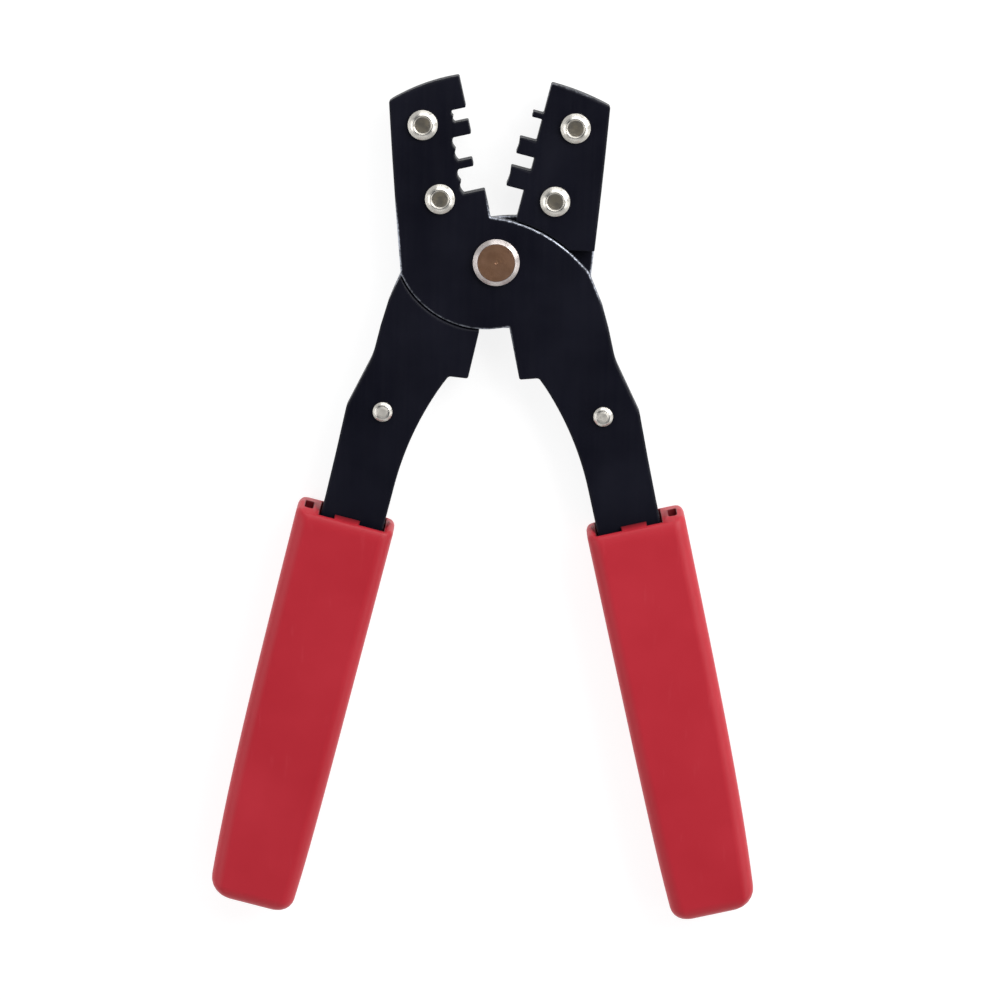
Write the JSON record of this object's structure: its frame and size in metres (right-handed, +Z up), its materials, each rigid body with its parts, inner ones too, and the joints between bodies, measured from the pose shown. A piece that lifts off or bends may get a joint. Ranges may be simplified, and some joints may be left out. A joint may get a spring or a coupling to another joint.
{
  "type": "open-barrel terminal crimping plier",
  "caption": "Hand plier of riveted black plates with a notched jaw and an anvil jaw that crimp open-barrel terminals, on long red sleeve grips.",
  "frame": {"origin": "bottom centre of the open plier's bounding box, on the surface that the grips lie on", "axes": "+Y from the handles to the jaws, +Z up out of the front face, the pivot axis is along Z, X across the jaws"},
  "size_m": [0.1174, 0.1817, 0.0126],
  "materials": {
    "black_oxide_plate": "satin blue-black oxide on stamped steel, worn slightly at the edges",
    "nickel_rivet": "bright nickel plate with a fine turned texture",
    "pivot_rivet_metal": "nickel plate, bright on the bevel and warmer and duller on the faced end",
    "red_grip": "soft satin moulded vinyl"
  },
  "bodies": {
    "front_lever": {"front_lever_plate": "black_oxide_plate", "left_jaw_rear_plate": "black_oxide_plate", "right_arm_rear_plate": "black_oxide_plate", "pivot_rivet": "pivot_rivet_metal", "left_jaw_rivet_upper": "nickel_rivet", "left_jaw_rivet_lower": "nickel_rivet", "right_arm_rivet": "nickel_rivet", "right_tang_rivet": "nickel_rivet", "right_grip": "red_grip"},
    "rear_lever": {"rear_lever_plate": "black_oxide_plate", "right_jaw_front_plate": "black_oxide_plate", "left_arm_front_plate": "black_oxide_plate", "right_jaw_rivet_upper": "nickel_rivet", "right_jaw_rivet_lower": "nickel_rivet", "left_arm_rivet": "nickel_rivet", "left_tang_rivet": "nickel_rivet", "left_grip": "red_grip"}
  },
  "joints": [
    {"name": "squeeze_pivot", "type": "hinge", "parent": "front_lever", "child": "rear_lever", "pos_m": [0, 0.05155, 0.0063], "axis": [0, 0, 1], "range_deg": [0, 24.5]}
  ]
}
